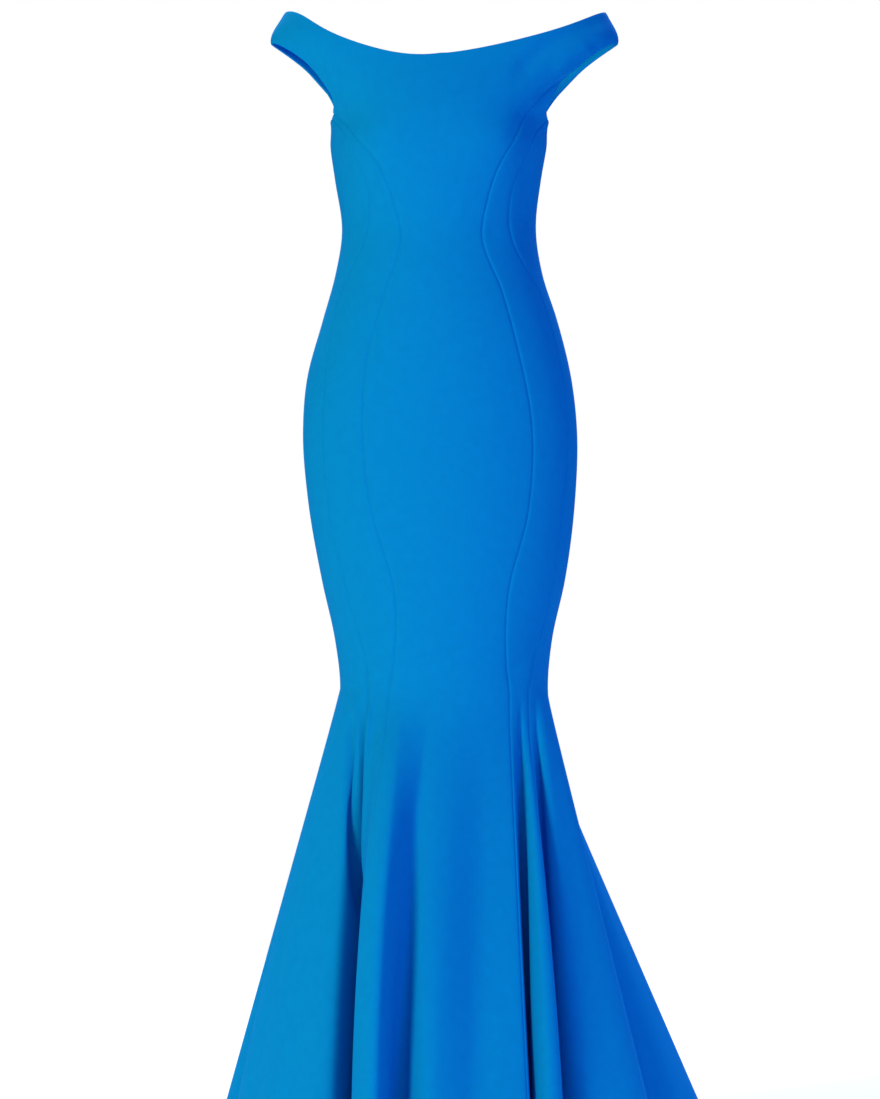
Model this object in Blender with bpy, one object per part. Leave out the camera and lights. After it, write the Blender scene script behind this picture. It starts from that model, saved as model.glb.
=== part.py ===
# Off-the-shoulder mermaid gown in its worn, hollow form: fitted down to the knee, then flared in flutes.
# Metres, +Z up, the front faces -Y. Left and right are the wearer's, so +X is the left side.
# A bearing is an angle round the body: 0 at centre front, 90 at the wearer's left side, 180 at centre back.
import math

import bpy
import numpy as np

# Driving sizes
CLOTH = 0.0015            # wall of the heavy stretch crepe
SEAM_GAP = 0.0003         # between two cut pieces
HOLD_HEIGHT = 1.500       # the origin: where the upper arms and chest hold the gown, above the hem
KNEE_HEIGHT = 0.652       # the flutes start below this ring
CHEST_HEIGHT = 1.358      # the last level row, just under the armholes
NECK_FRONT, NECK_BACK, NECK_SIDE = 1.4625, 1.484, 1.530
NECK_DIP_RIGHT, NECK_DIP_LEFT = 3.5, 2.2    # a higher power keeps the neck edge high further in from the arm
NECK_DIP_TURN = 8.0                         # the front's lowest point lies this far to the wearer's right
UNDERARM, BAND_HEM = 1.388, 1.489    # lowest and highest point of an armhole
ARMHOLE_HALF_ANGLE = 29.0            # how far an armhole reaches forwards and back from the side
ARMHOLE_SQUARENESS = 2.6
CUP_FULLNESS, CUP_BEARING, CUP_HEIGHT = 0.009, 36.0, 1.352
CUP_WIDTH_ANGLE, CUP_TALLNESS = 22.0, 0.050

# Level sections of the worn form: height above the hem, half width, middle, and depth before and behind it
SECTION_COLUMNS = ("height", "half_width", "middle_x", "front", "back")
SECTIONS = np.array([
    (0.600, 0.1380, 0.0052, 0.099, 0.102),
    (0.663, 0.1352, 0.0052, 0.098, 0.101),
    (0.715, 0.1410, 0.0046, 0.102, 0.105),
    (0.793, 0.1580, 0.0045, 0.107, 0.113),
    (0.897, 0.1736, 0.0020, 0.110, 0.124),
    (0.988, 0.1781, 0.0000, 0.110, 0.128),
    (1.053, 0.1720, -0.0010, 0.111, 0.122),
    (1.131, 0.1521, 0.0000, 0.109, 0.106),
    (1.190, 0.1345, -0.0013, 0.104, 0.094),
    (1.245, 0.1261, -0.0013, 0.099, 0.088),
    (1.313, 0.1339, -0.0026, 0.112, 0.095),
    (1.352, 0.1401, -0.0020, 0.119, 0.100),
    (1.394, 0.1448, 0.0000, 0.119, 0.105),
    (1.425, 0.1700, 0.0035, 0.113, 0.108),
    (1.456, 0.2000, 0.0052, 0.105, 0.109),
    (1.489, 0.2255, 0.0058, 0.098, 0.108),
    (1.531, 0.2087, 0.0072, 0.090, 0.103),
])

# The front seams, as the distance of each from the middle plane at a height
FRONT_SEAM_COLUMNS = ("height", "right_side_front", "right_princess", "left_princess", "left_side_front")
FRONT_SEAMS = np.array([
    (0.600, -0.0925, -0.0655, 0.0905, 0.1110),
    (0.652, -0.0925, -0.0648, 0.0890, 0.1135),
    (0.689, -0.0958, -0.0585, 0.0852, 0.1210),
    (0.777, -0.1195, -0.0572, 0.0877, 0.1425),
    (0.881, -0.1430, -0.0865, 0.1132, 0.1570),
    (0.988, -0.1510, -0.0985, 0.1182, 0.1640),
    (1.099, -0.1420, -0.0884, 0.0973, 0.1480),
    (1.161, -0.1290, -0.0699, 0.0801, 0.1290),
    (1.235, -0.0960, -0.0490, 0.0540, 0.0910),
    (1.274, -0.0900, -0.0578, 0.0598, 0.0885),
    (1.333, -0.1040, -0.0826, 0.0776, 0.1040),
    (1.358, -0.1160, -0.1020, 0.0917, 0.1160),
])

# The seams behind the sides, as bearings
BACK_SEAM_COLUMNS = ("height", "side_back")
BACK_SEAMS = np.array([
    (0.600, 128.0),
    (0.777, 127.0),
    (0.988, 124.0),
    (1.235, 136.0),
    (1.333, 129.0),
    (1.358, 126.0),
])

# The flutes of the hem in plan, from centre front round the wearer's left. Each has a near and a far shoulder,
# then the hollow before the next flute. Onset is the share of the skirt's drop that is passed before the flute
# opens: one below 0 opens at once. Ease over 1 lets it open mostly high up, under 1 mostly near the hem.
FLUTE_COLUMNS = ("near_x", "near_y", "far_x", "far_y", "hollow_x", "hollow_y", "onset", "ease")
FLUTES = np.array([
    (-0.015, -0.300, 0.116, -0.286, 0.092, -0.185, 0.05, 0.8),
    (0.137, -0.262, 0.156, -0.252, 0.128, -0.165, 0.08, 1.6),
    (0.190, -0.226, 0.296, -0.165, 0.268, -0.085, -0.06, 1.0),
    (0.352, -0.045, 0.386, 0.045, 0.318, 0.085, 0.12, 1.0),
    (0.358, 0.150, 0.330, 0.225, 0.262, 0.215, 0.10, 1.0),
    (0.270, 0.305, 0.205, 0.345, 0.160, 0.265, 0.16, 1.2),
    (0.135, 0.385, 0.060, 0.400, 0.030, 0.305, 0.06, 1.0),
    (-0.005, 0.395, -0.080, 0.370, -0.085, 0.275, 0.12, 1.3),
    (-0.135, 0.335, -0.195, 0.280, -0.160, 0.205, 0.08, 1.0),
    (-0.235, 0.220, -0.272, 0.150, -0.215, 0.100, 0.00, 1.0),
    (-0.298, 0.080, -0.305, -0.005, -0.258, -0.040, -0.05, 1.0),
    (-0.276, -0.120, -0.142, -0.243, -0.098, -0.150, -0.04, 1.4),
    (-0.108, -0.262, -0.080, -0.285, -0.050, -0.228, 0.03, 2.6),
])
NEAR, FAR, HOLLOW = 0, 1, 2
ONSET_SOFTNESS = 0.05
HEM_STEPS = 16           # points of the hem's curve from one shoulder or hollow to the next

# The cut pieces in order round the body, each with the seam on its near side and that seam's place in the hem:
# the flute's row and its shoulder or hollow
PIECES = (
    ("front_centre", "right_princess", 12, NEAR),
    ("front_side_left", "left_princess", 0, FAR),
    ("side_left", "left_side_front", 1, FAR),
    ("back_left", "left_side_back", 4, HOLLOW),
    ("back_right", "centre_back", 6, HOLLOW),
    ("side_right", "right_side_back", 8, HOLLOW),
    ("front_side_right", "right_side_front", 11, HOLLOW),
)
CENTRE_BACK_PIECE = 4    # the piece whose near side is the centre back seam
# Where each seam ends on its armhole: 0 at the underarm, -1 and 1 at the band's hem by the front and the back
SEAM_ENDS = {
    "right_princess": -0.18, "left_princess": -0.52, "right_side_front": -0.08, "left_side_front": -0.08,
    "left_side_back": 0.30, "right_side_back": 0.30,
}

# Rows and columns of the grids
COLUMN_SPACING = 0.027
SKIRT_DROPS = np.array([0, 0.07, 0.15, 0.24, 0.35, 0.50, 0.66, 0.83, 1.0])
BODY_ROWS = 12
YOKE_SEAM_ROWS, YOKE_ARMHOLE_ROWS, YOKE_BAND_ROWS = 3, 5, 2
YOKE_ROW_EASE, ARMHOLE_ROW_EASE = 1.7, 1.5    # how much the rows close up towards the neck and under the band
PLACE_STEP, DROP_STEP = 0.01, 0.01            # how far off the points are that give a normal
BEARING_STEP, HEIGHT_STEP = 0.5, 0.002
SHARP_ANGLE = math.radians(40)

# Concealed zip in the centre back seam
ZIP_FOOT, ZIP_TAPE_TOP = 0.980, 1.465    # the tape runs along the cloth's rows between these heights
ZIP_TAPE_WIDTH, ZIP_TAPE, ZIP_TAPE_GAP = 0.020, 0.0012, 0.0005
ZIP_MOUTH_HEIGHT, ZIP_MOUTH = 1.465, 0.0024      # the seam stands this far open above the slider
SLIDER_FOOT, SLIDER_TALL = 1.4700, 0.0070
SLIDER_WIDTH, SLIDER_DEEP, SLIDER_NECK = 0.0070, 0.0030, 0.0012
BAIL_WIDTH, BAIL_CHEEK, BAIL_PLATE = 0.0044, 0.0007, 0.0008
PIN_RADIUS, EYE_HOLE, EYE_RADIUS, EYE_WIDTH = 0.0005, 0.00085, 0.0015, 0.0024
PIN_STANDOFF = 0.0030            # from the cloth's outer face to the middle of the pin
TAB_LENGTH, TAB_WIDTH, TAB_THICK, TAB_NECK = 0.0180, 0.0048, 0.0012, 0.0024
TAB_SHOULDER, TAB_TOP = 0.0034, 0.0010    # below the pin: where the tab starts to widen, and its upper end
PIN_SIDES, EYE_SIDES, TAB_END_POINTS = 12, 20, 9

# Finishes: linear colour and roughness
CREPE_BLUE, CREPE_ROUGHNESS = (0.0, 0.223, 0.604), 0.75
TAPE_BLUE, TAPE_ROUGHNESS = (0.0, 0.17, 0.50), 0.6
PAINT_BLUE, PAINT_ROUGHNESS = (0.0, 0.18, 0.52), 0.35


def smooth(table, at, column):
    """One column of a table at any height, on a curve that passes through every row without overshooting."""
    x, y = table[:, 0], table[:, column]
    step = np.diff(x)
    slope = np.diff(y) / step
    inner = (slope[:-1] * step[1:] + slope[1:] * step[:-1]) / (step[1:] + step[:-1])
    tangent = np.concatenate([slope[:1], inner, slope[-1:]])
    at = np.clip(at, x[0], x[-1])
    i = np.clip(np.searchsorted(x, at) - 1, 0, len(step) - 1)
    t = (at - x[i]) / step[i]
    rise = y[i] * (1 + 2 * t) * (1 - t) ** 2 + y[i + 1] * t * t * (3 - 2 * t)
    return rise + step[i] * (tangent[i] * t * (1 - t) ** 2 - tangent[i + 1] * t * t * (1 - t))


def section(height, column):
    return smooth(SECTIONS, height, SECTION_COLUMNS.index(column))


def body_point(bearing, height):
    """The outside of the fitted part: half ellipses before and behind the sides, fuller over the cups."""
    half, middle, front, back = (section(height, column) for column in SECTION_COLUMNS[1:])
    turn = np.radians(bearing)
    forward = np.cos(turn)
    depth = np.where(forward > 0, front, back)
    around = (np.abs((bearing + 180) % 360 - 180) - CUP_BEARING) / CUP_WIDTH_ANGLE
    cup = CUP_FULLNESS * np.exp(-around ** 2 - ((height - CUP_HEIGHT) / CUP_TALLNESS) ** 2)
    x = middle + (half + cup) * np.sin(turn)
    y = -(depth + cup) * forward
    return np.stack([x, y, height * np.ones_like(x)], axis=-1)


def seam_bearing(name, height):
    """The bearing of a seam at a height: a measured distance from the middle in front, an angle behind."""
    side = -1 if name.startswith("right") else 1
    if name == "centre_back":
        return 180.0 + 0 * height
    if name.endswith("side_back"):
        return side * smooth(BACK_SEAMS, height, BACK_SEAM_COLUMNS.index("side_back"))
    across = smooth(FRONT_SEAMS, height, FRONT_SEAM_COLUMNS.index(name))
    sine = (across - section(height, "middle_x")) / section(height, "half_width")
    return np.degrees(np.arcsin(np.clip(sine, -1, 1)))


def hem_curve():
    """The plan of the hem through every shoulder and hollow: points, the distance run at each, and at the knots.

    Each stretch leaves and arrives in the direction of its neighbours, weighed by the roots of their lengths,
    so that a short stretch beside a long one doesn't loop.
    """
    knots = FLUTES[:, :FLUTE_COLUMNS.index("onset")].reshape(-1, 2)
    before, after, beyond = np.roll(knots, 1, 0), np.roll(knots, -1, 0), np.roll(knots, -2, 0)
    share = np.linspace(0, 1, HEM_STEPS + 1)[:-1, None, None]
    stretches = (knots - before, after - knots, beyond - after)
    first, middle, last = (np.sqrt(np.linalg.norm(stretch, axis=1))[:, None] for stretch in stretches)
    straight = (after - knots) / middle
    leave = ((knots - before) / first - (after - before) / (first + middle) + straight) * middle
    arrive = (straight - (beyond - knots) / (middle + last) + (beyond - after) / last) * middle
    points = (knots * (1 + 2 * share) * (1 - share) ** 2 + after * share ** 2 * (3 - 2 * share)
              + leave * share * (1 - share) ** 2 - arrive * share ** 2 * (1 - share))
    points = points.transpose(1, 0, 2).reshape(-1, 2)
    closed = np.vstack([points, points[:1]])
    run = np.concatenate([[0], np.cumsum(np.linalg.norm(np.diff(closed, axis=0), axis=1))])
    return closed, run, run[:-1:HEM_STEPS]


HEM_POINTS, HEM_RUN, KNOT_RUN = hem_curve()
HEM_ROUND = HEM_RUN[-1]


def hem_point(run):
    run = np.mod(run, HEM_ROUND)
    return np.stack([np.interp(run, HEM_RUN, HEM_POINTS[:, i]) for i in (0, 1)], axis=-1)


def flute_value(column, run):
    """The onset or ease of the flutes at a place of the hem, softly blended between the flutes' middles."""
    values = FLUTES[:, FLUTE_COLUMNS.index(column)]
    count = len(values)
    middle = (KNOT_RUN[NEAR::3] + KNOT_RUN[FAR::3]) / 2
    all_round = np.concatenate([middle[-1:] - HEM_ROUND, middle, middle[:1] + HEM_ROUND])
    spot = np.interp(np.mod(run, HEM_ROUND), all_round, np.arange(-1, count + 1))
    before = np.floor(spot).astype(int)
    share = spot - before
    share = share * share * (3 - 2 * share)
    return values[before % count] * (1 - share) + values[(before + 1) % count] * share


def seam_runs():
    """Where each piece starts and ends in the hem, as distances that keep growing round it."""
    starts = [KNOT_RUN[3 * flute + knot] for _, _, flute, knot in PIECES]
    starts = [run - HEM_ROUND if i == 0 else run for i, run in enumerate(starts)]
    return starts + [starts[0] + HEM_ROUND]


SEAM_RUNS = seam_runs()


def whole_turn(index):
    """Bearings past the centre back are counted on from 180, not from -180."""
    return 360 if index > CENTRE_BACK_PIECE else 0


def seam_bearings(height):
    """The bearings of all seams at a height, growing round the body, and the first one again a turn later."""
    found = [seam_bearing(seam, height) + whole_turn(i) for i, (_, seam, _, _) in enumerate(PIECES)]
    return found + [found[0] + 360]


def opened(drop, onset):
    """How far a flute has opened at a drop: nothing before its onset, then evenly, softly turned between."""
    past = drop - onset
    return (past + np.sqrt(past ** 2 + ONSET_SOFTNESS ** 2)) / 2


def skirt_point(place, drop):
    """The flared part. Place counts pieces round the body, in parts too; drop goes from 0, knee, to 1, hem."""
    knees = np.array(seam_bearings(KNEE_HEIGHT))
    counts = np.arange(len(knees))
    turns = np.floor(place / len(PIECES))
    local = place - turns * len(PIECES)
    bearing = np.interp(local, counts, knees)
    run = np.interp(local, counts, SEAM_RUNS)
    knee = body_point(bearing, KNEE_HEIGHT)
    hem = hem_point(run)
    onset = flute_value("onset", run)
    share = (opened(drop, onset) - opened(0, onset)) / (opened(1, onset) - opened(0, onset))
    share = 1 - np.clip(1 - share, 0, 2) ** flute_value("ease", run)
    plan = knee[..., :2] + (hem - knee[..., :2]) * share[..., None]
    return np.concatenate([plan, (KNEE_HEIGHT * (1 - drop) * np.ones_like(share))[..., None]], axis=-1)


def normals(point, a, b, step_a, step_b):
    """Unit normals of a surface, from points a short way off on each side."""
    along = point(a + step_a, b) - point(a - step_a, b)
    up = point(a, b + step_b) - point(a, b - step_b)
    cross = np.cross(along, up)
    return cross / np.linalg.norm(cross, axis=-1, keepdims=True)


def armhole_edge(side, share):
    """Bearing and height on an armhole: 0 at the underarm, -1 and 1 at the band's hem, before and behind."""
    angle = np.pi * (np.abs(share) - 0.5)
    power = 2 / ARMHOLE_SQUARENESS
    out = np.abs(np.cos(angle)) ** power
    rise = np.sign(np.sin(angle)) * np.abs(np.sin(angle)) ** power
    bearing = 90 + np.sign(share) * ARMHOLE_HALF_ANGLE * out
    height = (UNDERARM + BAND_HEM) / 2 + (BAND_HEM - UNDERARM) / 2 * rise
    return np.stack([side * bearing, height], axis=-1)


def neckline_height(bearing):
    """The neck edge: highest on the arms, dipping to the front and, less, to the centre back."""
    turn = NECK_DIP_TURN * np.maximum(np.cos(np.radians(bearing)), 0)
    forward = np.cos(np.radians(bearing + turn))
    low = np.where(forward > 0, NECK_FRONT, NECK_BACK)
    dip = np.where(np.sin(np.radians(bearing)) > 0, NECK_DIP_LEFT, NECK_DIP_RIGHT)
    return NECK_SIDE - (NECK_SIDE - low) * np.abs(forward) ** dip


def yoke_seam(name):
    """A seam above the last level row, as bearings and heights: it goes on in its own way to the armhole."""
    side = -1 if name.startswith("right") else 1
    foot = np.array([float(seam_bearing(name, CHEST_HEIGHT)), CHEST_HEIGHT])
    end = armhole_edge(side, SEAM_ENDS[name])
    reach = (end[1] - foot[1]) / 2
    lean = float(seam_bearing(name, CHEST_HEIGHT) - seam_bearing(name, CHEST_HEIGHT - 0.01)) / 0.01
    bend = foot + reach * np.array([lean, 1.0])
    t = np.linspace(0, 1, YOKE_SEAM_ROWS + 1)[:, None]
    return foot * (1 - t) ** 2 + 2 * bend * t * (1 - t) + end * t ** 2


def middle_climb():
    """How far up the yoke each row is in the middle of a piece: the rows close up towards the neck edge."""
    rows = YOKE_SEAM_ROWS + YOKE_ARMHOLE_ROWS + YOKE_BAND_ROWS
    return 1 - np.linspace(1, 0, rows + 1) ** YOKE_ROW_EASE


def yoke_side(name, whole):
    """One side of a piece above the last level row. Whole pieces go on round the armhole and up the arm band."""
    if name == "centre_back":
        heights = CHEST_HEIGHT + (NECK_BACK - CHEST_HEIGHT) * middle_climb()
        return np.stack([180.0 + 0 * heights, heights], axis=-1)
    seam = yoke_seam(name)
    if not whole:
        return seam
    side = -1 if name.startswith("right") else 1
    end = SEAM_ENDS[name]
    left_over = np.linspace(1, 0, YOKE_ARMHOLE_ROWS + 1)[1:] ** ARMHOLE_ROW_EASE
    round_armhole = armhole_edge(side, np.sign(end) + (end - np.sign(end)) * left_over)
    up_band = np.linspace([90.0 * side, BAND_HEM], [90.0 * side, NECK_SIDE], YOKE_BAND_ROWS + 1)[1:]
    return np.vstack([seam, round_armhole, up_band])


def yoke_top(near_name, far_name, near, far, columns):
    """The top edge of a piece: the armhole for one between two seams of a side, else the neckline."""
    share = np.linspace(0, 1, columns + 1)
    if near_name[:4] == far_name[:4]:
        side = -1 if near_name.startswith("right") else 1
        ends = SEAM_ENDS[near_name], SEAM_ENDS[far_name]
        edge = armhole_edge(side, ends[0] + (ends[1] - ends[0]) * share)
        return edge + (near[0] - edge[0, 0], 0)
    bearing = near[0] + (far[0] - near[0]) * share
    return np.stack([bearing, neckline_height(bearing)], axis=-1)


def yoke_grid(index, columns):
    """Bearings and heights above the last level row, blended between the four edges of the piece."""
    near_name, far_name = PIECES[index][1], PIECES[(index + 1) % len(PIECES)][1]
    whole = near_name[:4] != far_name[:4]
    near, far = yoke_side(near_name, whole), yoke_side(far_name, whole)
    near[:, 0] += whole_turn(index)
    far[:, 0] += whole_turn(index + 1)
    top = yoke_top(near_name, far_name, near[-1], far[-1], columns)
    s = np.linspace(0, 1, columns + 1)
    foot = near[0, 1]
    near_climb, far_climb = ((edge[:, 1, None] - foot) / (edge[-1, 1] - foot) for edge in (near, far))
    edge_climb = near_climb * (1 - s) + far_climb * s
    free_climb = middle_climb()[:, None] if whole else edge_climb
    climb = edge_climb + (free_climb - edge_climb) * 4 * s * (1 - s)
    across = near[:, :1] * (1 - s) + far[:, :1] * s
    bearing = across + climb * (top[:, 0] - across[-1])
    return np.stack([bearing, foot + climb * (top[:, 1] - foot)], axis=-1)


def surface_rows(index, columns):
    """Points and normals of one piece's outer face, from the hem up to its top edge."""
    s = np.linspace(0, 1, columns + 1)
    drops = SKIRT_DROPS[:0:-1, None] + 0 * s
    places = index + s + 0 * drops
    skirt = skirt_point(places, drops)
    skirt_normals = normals(skirt_point, places, drops, PLACE_STEP, -DROP_STEP)
    heights = np.linspace(KNEE_HEIGHT, CHEST_HEIGHT, BODY_ROWS + 1)
    ends = np.array([seam_bearings(height) for height in heights])
    bearings = ends[:, index, None] + (ends[:, index + 1] - ends[:, index])[:, None] * s
    levels = heights[:, None] + 0 * s
    yoke = yoke_grid(index, columns)[1:]
    bearings = np.vstack([bearings, yoke[..., 0]])
    levels = np.vstack([levels, yoke[..., 1]])
    body = body_point(bearings, levels)
    body_normals = normals(body_point, bearings, levels, BEARING_STEP, HEIGHT_STEP)
    return np.vstack([skirt, body]), np.vstack([skirt_normals, body_normals])


def draw_in(points, normal, side, amount):
    """Moves one edge column of a grid towards the inside of its piece, along the cloth."""
    edge, inner = (0, 1) if side == 0 else (-1, -2)
    way = points[:, inner] - points[:, edge]
    way -= np.sum(way * normal[:, edge], axis=-1, keepdims=True) * normal[:, edge]
    way /= np.linalg.norm(way, axis=-1, keepdims=True)
    points[:, edge] += way * amount[:, None]


def strip(line, count):
    """The faces across a wall's thickness along an edge. Two pieces split them alike, to match at a seam."""
    here, after = line[:-1], line[1:]
    first = np.stack([here, here + count, after], -1)
    second = np.stack([after, here + count, after + count], -1)
    return np.concatenate([first, second])


def wall_object(name, outer, normal, thickness, material):
    """A closed wall from the grid of its outer face: that grid moved inwards, and a strip round the edges."""
    rows, columns = outer.shape[:2]
    inner = outer - normal * thickness
    count = rows * columns
    index = np.arange(count).reshape(rows, columns)
    a, b, c, d = index[:-1, :-1], index[:-1, 1:], index[1:, 1:], index[1:, :-1]
    face = np.stack([a, b, c, a, c, d], -1).reshape(-1, 3)
    strips = [strip(edge, count) for edge in (index[0], index[:, -1], index[-1], index[:, 0])]
    strips[2:] = [edge[:, ::-1] for edge in strips[2:]]
    points = np.concatenate([outer.reshape(-1, 3), inner.reshape(-1, 3)]) - (0, 0, HOLD_HEIGHT)
    return mesh_object(name, points, np.concatenate([face, face[:, ::-1] + count, *strips]), material)


def mesh_object(name, points, faces, material):
    mesh = bpy.data.meshes.new(name)
    mesh.from_pydata([tuple(p) for p in points], [], [tuple(int(i) for i in f) for f in faces])
    mesh.validate()
    mesh.update()
    mesh.shade_smooth()
    mesh.set_sharp_from_angle(angle=SHARP_ANGLE)
    made = bpy.data.objects.new(name, mesh)
    made.data.materials.append(material)
    bpy.context.scene.collection.objects.link(made)
    return made


def piece_columns(index):
    """Columns of a piece: enough for its hem and, where it reaches the neck, for its top edge."""
    hem = SEAM_RUNS[index + 1] - SEAM_RUNS[index]
    half_neck = math.pi / 2 * (section(NECK_SIDE, "half_width") + section(NECK_SIDE, "front")) / 2
    neck = {"front_centre": 2 * half_neck, "back_left": half_neck, "back_right": half_neck}
    return round(max(hem, neck.get(PIECES[index][0], 0)) / COLUMN_SPACING)


def make_piece(index, material):
    name, near_name = PIECES[index][:2]
    far_name = PIECES[(index + 1) % len(PIECES)][1]
    points, normal = surface_rows(index, piece_columns(index))
    for side, seam in ((0, near_name), (1, far_name)):
        amount = np.full(len(points), SEAM_GAP / 2)
        if seam == "centre_back":
            amount[points[:, -side, 2] > ZIP_MOUTH_HEIGHT] = ZIP_MOUTH / 2
        draw_in(points, normal, side, amount)
    return wall_object(name, points, normal, CLOTH, material)


def plain_material(name, colour, roughness):
    made = bpy.data.materials.new(name)
    made.use_nodes = True
    shader = made.node_tree.nodes["Principled BSDF"]
    shader.inputs["Base Color"].default_value = (*colour, 1)
    shader.inputs["Roughness"].default_value = roughness
    made.diffuse_color = (*colour, 1)
    return made


def prism(name, outline, axis, low, high, material):
    """A flat outline carried along one axis. Its points turn left about that axis."""
    others = [(1, 2), (2, 0), (0, 1)][axis]
    points = np.zeros((2 * len(outline), 3))
    points[:, others] = np.vstack([outline, outline])
    points[:, axis] = np.repeat([low, high], len(outline))
    n = len(outline)
    mesh = bpy.data.meshes.new(name)
    sides = [(i, (i + 1) % n, n + (i + 1) % n, n + i) for i in range(n)]
    ends = [tuple(range(n - 1, -1, -1)), tuple(range(n, 2 * n))]
    mesh.from_pydata([tuple(p) for p in points], [], [*ends, *sides])
    mesh.update()
    made = bpy.data.objects.new(name, mesh)
    made.data.materials.append(material)
    bpy.context.scene.collection.objects.link(made)
    return made


def round_outline(centre, radius, count):
    turn = np.linspace(0, 2 * np.pi, count, endpoint=False)
    return np.stack([centre[0] + radius * np.cos(turn), centre[1] + radius * np.sin(turn)], axis=-1)


def combine(target, tool, operation):
    """Joins or cuts with a helper that stays out of the model."""
    tool.hide_render = True
    tool.display_type = "WIRE"
    step = target.modifiers.new(tool.name, "BOOLEAN")
    step.operation = operation
    step.object = tool


def make_zip_tape(material):
    """The tapes and coil behind the centre back seam: one strip from the two back pieces' points, moved in."""
    strips = []
    for index, edge, inner in ((CENTRE_BACK_PIECE - 1, -1, -2), (CENTRE_BACK_PIECE, 0, 1)):
        points, normal = surface_rows(index, piece_columns(index))
        used = (points[:, edge, 2] > ZIP_FOOT) & (points[:, edge, 2] < ZIP_TAPE_TOP)
        across = points[used, inner] - points[used, edge]
        share = ZIP_TAPE_WIDTH / 2 / np.linalg.norm(across, axis=-1, keepdims=True)
        beside = normal[used, edge] * (1 - share) + normal[used, inner] * share
        strips.append((points[used, edge] + across * share, beside))
        seam = points[used, edge], normal[used, edge]
    points, normal = (np.stack([strips[0][k], seam[k], strips[1][k]], axis=1) for k in (0, 1))
    normal = normal / np.linalg.norm(normal, axis=-1, keepdims=True)
    return wall_object("zip_tape", points - normal * (CLOTH + ZIP_TAPE_GAP), normal, ZIP_TAPE, material)


def make_slider(back_y, middle_x, material):
    """From above: a block inside the cloth, a neck through the seam, and a plate whose cheeks hold a pin."""
    inside = back_y - CLOTH - SEAM_GAP
    outside = back_y + SEAM_GAP
    plate = outside + BAIL_PLATE
    tip = back_y + PIN_STANDOFF + 2 * PIN_RADIUS
    half, neck, bail = SLIDER_WIDTH / 2, SLIDER_NECK / 2, BAIL_WIDTH / 2
    cheek = bail - BAIL_CHEEK
    block = [(half, inside - SLIDER_DEEP), (half, inside), (neck, inside), (neck, outside)]
    right_half = block + [(bail, outside), (bail, tip), (cheek, tip), (cheek, plate)]
    outline = right_half + [(-x, y) for x, y in right_half[::-1]]
    outline = [(middle_x + x, y) for x, y in outline]
    foot = SLIDER_FOOT - HOLD_HEIGHT
    slider = prism("zip_slider", outline, 2, foot, foot + SLIDER_TALL, material)
    pin_height = foot + SLIDER_TALL / 2
    reach = bail - BAIL_CHEEK / 2
    pin_end = round_outline((back_y + PIN_STANDOFF, pin_height), PIN_RADIUS, PIN_SIDES)
    pin = prism("slider_pin_helper", pin_end, 0, middle_x - reach, middle_x + reach, material)
    combine(slider, pin, "UNION")
    return pin_height


def make_tab(back_y, middle_x, pin_height, material):
    """A flat teardrop that hangs straight down from an eye round the slider's pin."""
    y = back_y + PIN_STANDOFF
    neck, wide = TAB_NECK / 2, TAB_WIDTH / 2
    bottom = pin_height - TAB_LENGTH + wide
    turn = np.linspace(0, np.pi, TAB_END_POINTS)
    round_end = [(bottom - wide * math.sin(a), middle_x - wide * math.cos(a)) for a in turn]
    shoulder = pin_height - TAB_SHOULDER
    top = pin_height - TAB_TOP
    left, right = middle_x + neck, middle_x - neck
    outline = round_end + [(shoulder, left), (top, left), (top, right), (shoulder, right)]
    tab = prism("zip_tab", outline, 1, y - TAB_THICK / 2, y + TAB_THICK / 2, material)
    eye_ring = round_outline((y, pin_height), EYE_RADIUS, EYE_SIDES)
    eye = prism("tab_eye_helper", eye_ring, 0, middle_x - EYE_WIDTH / 2, middle_x + EYE_WIDTH / 2, material)
    hole_ring = round_outline((y, pin_height), EYE_HOLE, EYE_SIDES)
    hole = prism("tab_hole_helper", hole_ring, 0, middle_x - EYE_WIDTH, middle_x + EYE_WIDTH, material)
    combine(tab, eye, "UNION")
    combine(tab, hole, "DIFFERENCE")


def clear_scene():
    for old in list(bpy.data.objects):
        bpy.data.objects.remove(old)


def make_gown():
    clear_scene()
    for index, piece in enumerate(PIECES):
        make_piece(index, plain_material("blue_crepe_" + piece[0], CREPE_BLUE, CREPE_ROUGHNESS))
    make_zip_tape(plain_material("blue_zip_tape", TAPE_BLUE, TAPE_ROUGHNESS))
    middle_x, back_y, _ = body_point(np.array(180.0), np.array(SLIDER_FOOT + SLIDER_TALL / 2))
    pin_height = make_slider(back_y, middle_x, plain_material("painted_slider", PAINT_BLUE, PAINT_ROUGHNESS))
    make_tab(back_y, middle_x, pin_height, plain_material("painted_tab", PAINT_BLUE, PAINT_ROUGHNESS))


make_gown()
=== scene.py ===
import math

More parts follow.
